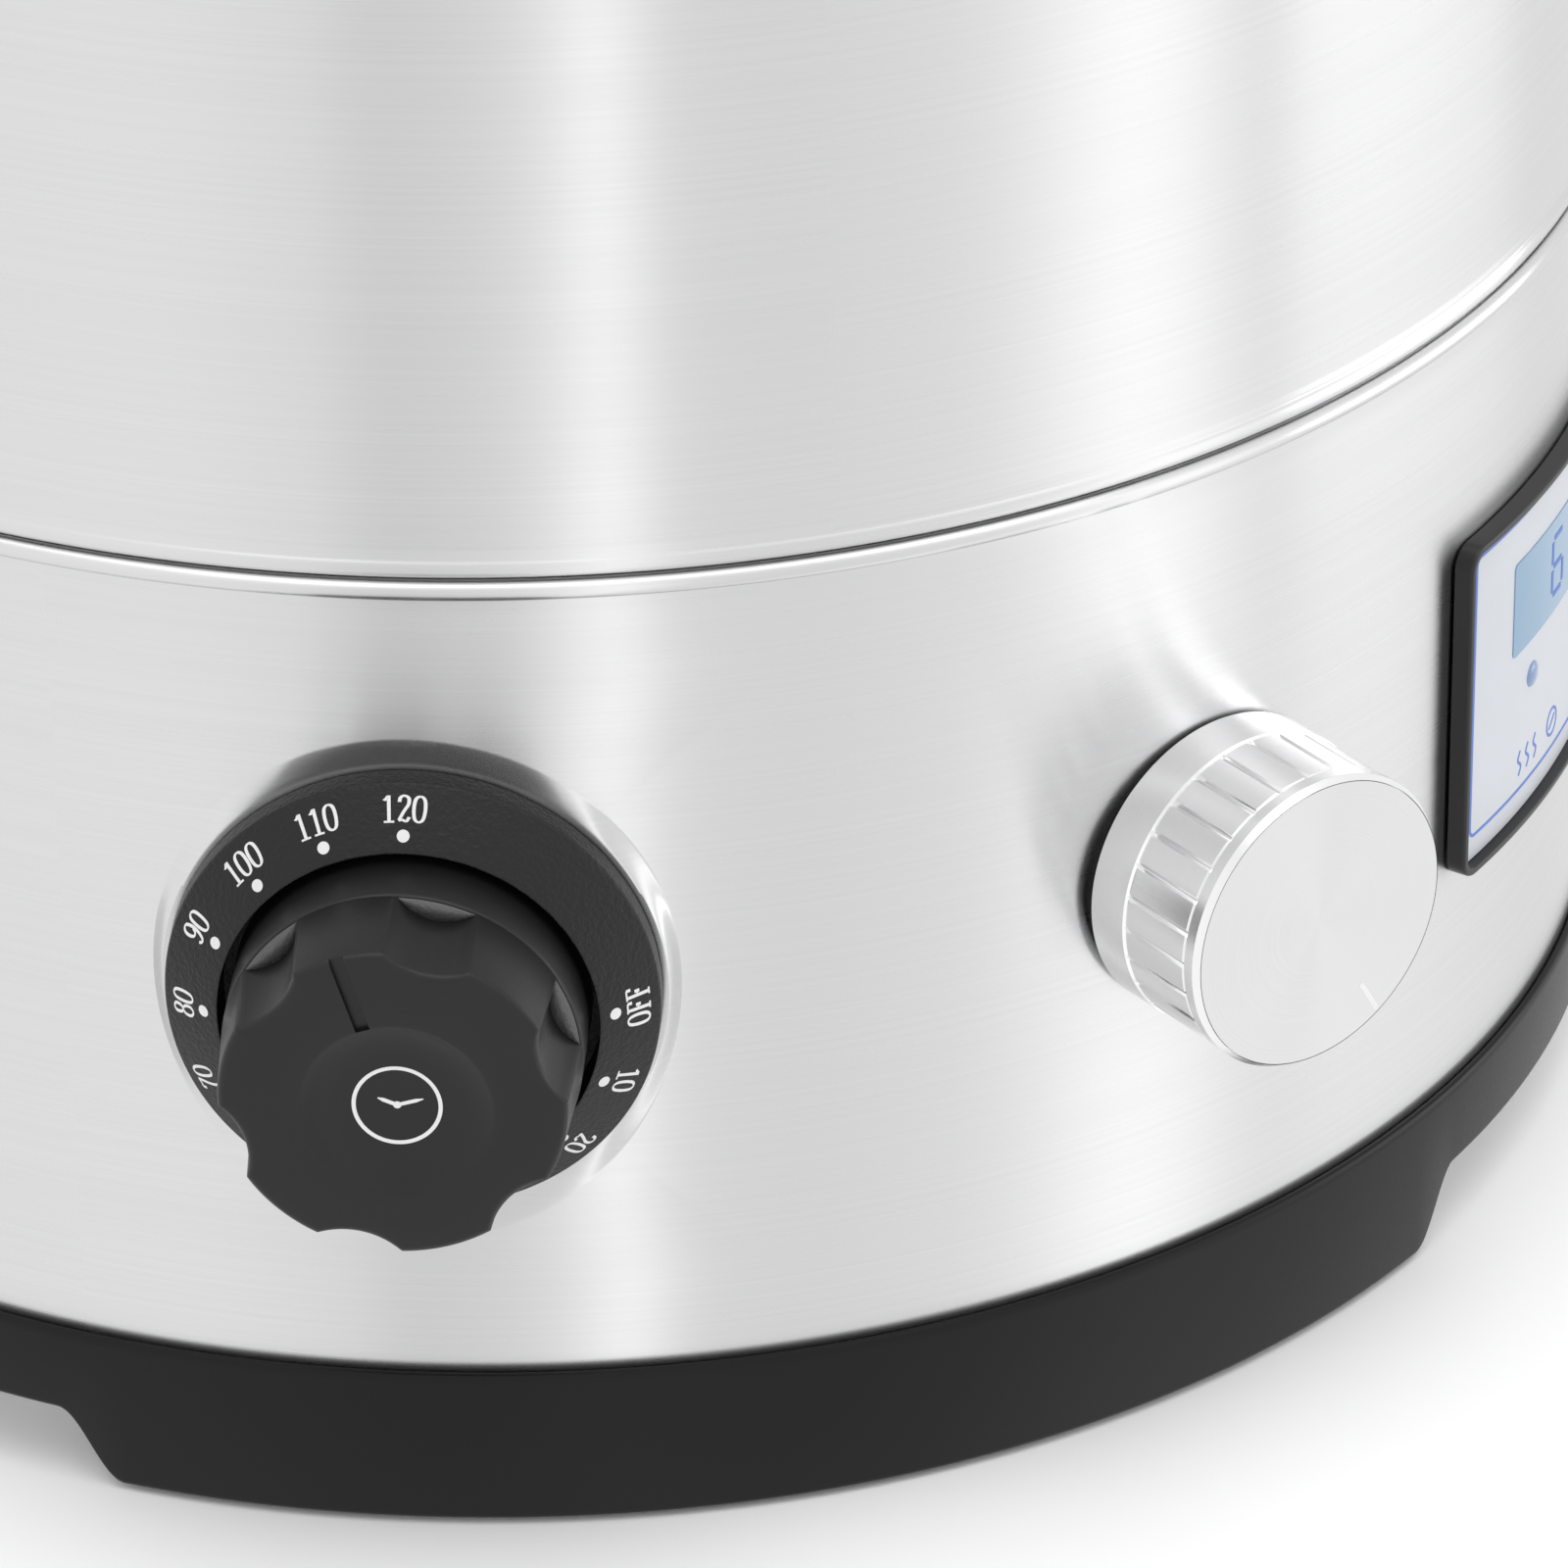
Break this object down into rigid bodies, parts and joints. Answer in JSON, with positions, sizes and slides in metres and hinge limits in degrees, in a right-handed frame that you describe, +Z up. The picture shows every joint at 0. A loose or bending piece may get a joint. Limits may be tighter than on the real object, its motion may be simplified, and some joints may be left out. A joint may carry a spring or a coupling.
{
  "type": "food dehydrator",
  "caption": "Round steel food dehydrator: base unit with timer, power knob and display, stacked mesh trays in a drum, domed vented lid.",
  "frame": {"origin": "middle of the footprint's bounding box, on the table", "axes": "+Z up; -Y is the front, where the timer and the power knob are; +X to the right of someone facing the front"},
  "size_m": [0.36, 0.3184, 0.3807],
  "materials": {
    "brushed_steel": "brushed round the drum",
    "plain_steel": "plain",
    "spun_aluminium": "spun face, diamond-cut edge",
    "black_plastic": "fine texture",
    "rubber": "matte",
    "label_plastic": "satin film",
    "display_window": "clear window over a lit display",
    "lamp_lens": "clear lens",
    "circuit_board": "solder mask",
    "timer_housing": "moulded",
    "motor_metal": "satin",
    "heater_metal": "oxidised sheath",
    "mica": "mica board",
    "brass": "bright",
    "lead_brown": "insulation",
    "lead_white": "insulation"
  },
  "bodies": {
    "base": {"base_ring": "black_plastic", "bottom_plate": "plain_steel", "rubber_foot_1": "rubber", "rubber_foot_2": "rubber", "rubber_foot_3": "rubber", "bottom_screw_1": "plain_steel", "bottom_screw_2": "plain_steel", "bottom_screw_3": "plain_steel", "skirt": "brushed_steel", "timer_body": "timer_housing", "timer_dial": "black_plastic", "power_control": "plain_steel", "power_nut": "plain_steel", "power_washer": "rubber", "status_lamp": "lamp_lens", "display_board": "circuit_board", "panel_bezel": "black_plastic", "panel_label": "label_plastic", "display_window": "display_window", "mains_inlet": "black_plastic", "inlet_pin_1": "brass", "inlet_pin_2": "brass", "inlet_pin_3": "brass", "inlet_screw_1": "plain_steel", "inlet_screw_2": "plain_steel", "deck_plate": "plain_steel", "outlet_grille": "plain_steel", "air_duct": "plain_steel", "motor_bracket": "plain_steel", "fan_motor": "motor_metal", "heating_element": "heater_metal", "heater_support": "mica", "power_board": "circuit_board", "thermal_cutout": "timer_housing", "temperature_probe": "plain_steel", "lead_inlet_to_timer": "lead_brown", "lead_timer_to_board": "lead_brown", "lead_board_to_heater": "lead_white", "lead_board_to_motor": "lead_white", "lead_display": "lead_white"},
    "timer_knob": {"timer_knob": "black_plastic", "timer_shaft": "plain_steel"},
    "power_knob": {"power_knob": "spun_aluminium", "power_shaft": "plain_steel"},
    "fan": {"fan_rotor": "black_plastic", "fan_shaft": "plain_steel"},
    "drum": {"drum": "brushed_steel", "bracket_left": "plain_steel", "bracket_right": "plain_steel", "handle_left": "black_plastic", "handle_right": "black_plastic"},
    "tray_1": {"tray_1": "plain_steel"},
    "tray_2": {"tray_2": "plain_steel"},
    "tray_3": {"tray_3": "plain_steel"},
    "tray_4": {"tray_4": "plain_steel"},
    "tray_5": {"tray_5": "plain_steel"},
    "lid": {"lid": "brushed_steel", "lid_knob": "black_plastic", "lid_knob_screw": "plain_steel"},
    "vent_shutter": {"vent_shutter": "brushed_steel"}
  },
  "joints": [
    {"name": "drum_lift", "type": "slide", "parent": "base", "child": "drum", "axis": [0, 0, 1], "range_m": [0, 0.12]},
    {"name": "tray_1_lift", "type": "slide", "parent": "drum", "child": "tray_1", "axis": [0, 0, 1], "range_m": [0, 0.2]},
    {"name": "tray_2_lift", "type": "slide", "parent": "tray_1", "child": "tray_2", "axis": [0, 0, 1], "range_m": [0, 0.16]},
    {"name": "tray_3_lift", "type": "slide", "parent": "tray_2", "child": "tray_3", "axis": [0, 0, 1], "range_m": [0, 0.125]},
    {"name": "tray_4_lift", "type": "slide", "parent": "tray_3", "child": "tray_4", "axis": [0, 0, 1], "range_m": [0, 0.09]},
    {"name": "tray_5_lift", "type": "slide", "parent": "tray_4", "child": "tray_5", "axis": [0, 0, 1], "range_m": [0, 0.06]},
    {"name": "lid_lift", "type": "slide", "parent": "tray_5", "child": "lid", "axis": [0, 0, 1], "range_m": [0, 0.08]},
    {"name": "vent_turn", "type": "hinge", "parent": "lid", "child": "vent_shutter", "pos_m": [0, 0.00911, 0.3454], "axis": [0, 0, 1], "range_deg": [0, 22.5]},
    {"name": "timer_knob_turn", "type": "hinge", "parent": "base", "child": "timer_knob", "pos_m": [-0.05149, -0.12644, 0.0785], "axis": [-0.3551, -0.9348, 0], "range_deg": [-17, 255]},
    {"name": "power_knob_turn", "type": "hinge", "parent": "base", "child": "power_knob", "pos_m": [0.05149, -0.12644, 0.0785], "axis": [0.3551, -0.9348, 0], "range_deg": [0, 300]},
    {"name": "fan_spin", "type": "hinge", "parent": "base", "child": "fan", "pos_m": [0, 0.00911, 0.08], "axis": [0, 0, 1], "continuous": true}
  ]
}
